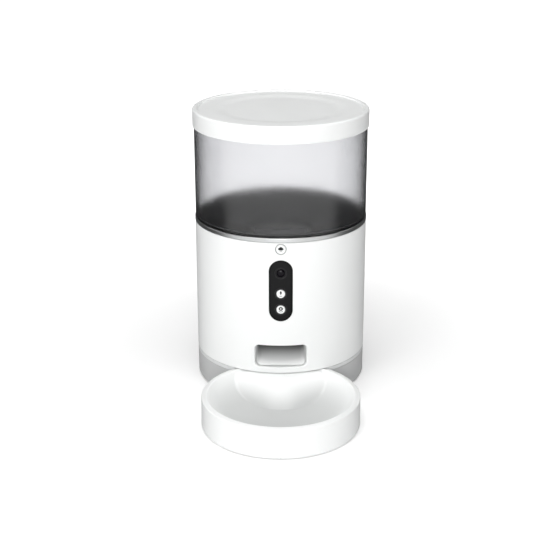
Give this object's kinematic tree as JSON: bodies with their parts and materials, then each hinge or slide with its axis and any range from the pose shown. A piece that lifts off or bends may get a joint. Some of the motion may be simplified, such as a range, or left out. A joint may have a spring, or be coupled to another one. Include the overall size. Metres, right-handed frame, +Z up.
{
  "type": "automatic pet feeder",
  "caption": "Round automatic pet feeder: smoky clear food tank on a white tower with a front panel, camera, outlet window, gear-driven paddle wheel inside and a round bowl half under it.",
  "frame": {"origin": "centre of the bounding box at floor level", "axes": "+Z up, -Y towards the bowl (front), +X to the viewer's right"},
  "size_m": [0.192, 0.3246, 0.307],
  "materials": {
    "white_gloss": "glossy white",
    "white_plastic": "satin white",
    "smoky_clear": "clear with a smoky tint and a light frost",
    "dark_plastic": "dark satin",
    "seal_grey": "soft grey",
    "satin_metal": "satin silver",
    "frosted_grey": "frosted grey",
    "grey_plastic": "satin grey",
    "black_rubber": "matt",
    "steel": "zinc plated",
    "brass": "machined",
    "black_gloss": "glossy black",
    "black_plastic": "satin black",
    "circuit_board": "solder mask green"
  },
  "bodies": {
    "base": {"body_shell": "white_gloss", "speaker_grille": "white_gloss", "top_deck": "white_plastic", "mid_plate": "white_plastic", "chute": "white_plastic", "dispenser_pot": "dark_plastic", "food_baffle": "dark_plastic", "trim_ring": "satin_metal", "camera_bezel": "satin_metal", "base_ring": "frosted_grey", "base_plate": "grey_plastic", "battery_tray": "grey_plastic", "upper_button_ring": "grey_plastic", "lower_button_ring": "grey_plastic", "feed_button_ring": "grey_plastic", "foot_1": "black_rubber", "foot_2": "black_rubber", "foot_3": "black_rubber", "foot_4": "black_rubber", "screw_1": "steel", "screw_2": "steel", "screw_3": "steel", "screw_4": "steel", "idler_pin": "steel", "motor": "steel", "motor_bracket": "steel", "battery_contact_front": "steel", "battery_contact_back": "steel", "rotor_bush": "brass", "front_panel": "black_gloss", "camera_lens": "black_gloss", "camera_module": "black_plastic", "feed_switch": "black_plastic", "upper_switch": "black_plastic", "lower_switch": "black_plastic", "speaker": "black_plastic", "dc_socket": "black_plastic", "control_board": "circuit_board"},
    "tank": {"tank": "smoky_clear", "tank_floor": "dark_plastic", "tank_catch": "dark_plastic"},
    "lid": {"lid": "white_gloss", "lid_seal": "seal_grey", "desiccant_box": "white_plastic"},
    "desiccant_cover": {"desiccant_cover": "white_plastic"},
    "rotor": {"paddle_wheel": "dark_plastic", "rotor_shaft": "steel", "drive_gear": "white_plastic"},
    "idler": {"idler_gear": "white_plastic"},
    "pinion": {"pinion_gear": "brass", "motor_shaft": "steel"},
    "bowl": {"bowl": "white_gloss", "bowl_pad_1": "black_rubber", "bowl_pad_2": "black_rubber", "bowl_pad_3": "black_rubber"},
    "feed_button": {"feed_button": "white_gloss"},
    "upper_button": {"upper_button": "white_gloss"},
    "lower_button": {"lower_button": "white_gloss"},
    "battery_door": {"battery_door": "grey_plastic"}
  },
  "joints": [
    {"name": "tank_lift", "type": "slide", "parent": "base", "child": "tank", "axis": [0, 0, 1], "range_m": [0, 0.05]},
    {"name": "lid_lift", "type": "slide", "parent": "tank", "child": "lid", "axis": [0, 0, 1], "range_m": [0, 0.05]},
    {"name": "desiccant_cover_twist", "type": "hinge", "parent": "lid", "child": "desiccant_cover", "pos_m": [0, 0.0663, 0.2856], "axis": [0, 0, 1], "range_deg": [0, 30]},
    {"name": "rotor_spin", "type": "hinge", "parent": "base", "child": "rotor", "pos_m": [0, 0.0663, 0.11], "axis": [0, 0, 1], "continuous": true},
    {"name": "idler_spin", "type": "hinge", "parent": "base", "child": "idler", "pos_m": [0.0244, 0.0907, 0.11], "axis": [0, 0, 1], "continuous": true},
    {"name": "pinion_spin", "type": "hinge", "parent": "base", "child": "pinion", "pos_m": [-0.00458, 0.09846, 0.11], "axis": [0, 0, 1], "continuous": true},
    {"name": "bowl_slide", "type": "slide", "parent": "base", "child": "bowl", "axis": [0, -1, 0], "range_m": [0, 0.12]},
    {"name": "feed_button_press", "type": "slide", "parent": "base", "child": "feed_button", "axis": [0, 1, 0], "range_m": [0, 0.0012], "stiffness_N_per_m": 200},
    {"name": "upper_button_press", "type": "slide", "parent": "base", "child": "upper_button", "axis": [0, 1, 0], "range_m": [0, 0.0012], "stiffness_N_per_m": 200},
    {"name": "lower_button_press", "type": "slide", "parent": "base", "child": "lower_button", "axis": [0, 1, 0], "range_m": [0, 0.0012], "stiffness_N_per_m": 200},
    {"name": "battery_door_slide", "type": "slide", "parent": "base", "child": "battery_door", "axis": [0, 1, 0], "range_m": [0, 0.008]}
  ],
  "couplings": [
    {"joint": "idler_spin", "follows": "rotor_spin", "ratio": -0.76923},
    {"joint": "pinion_spin", "follows": "rotor_spin", "ratio": 1.4286}
  ]
}
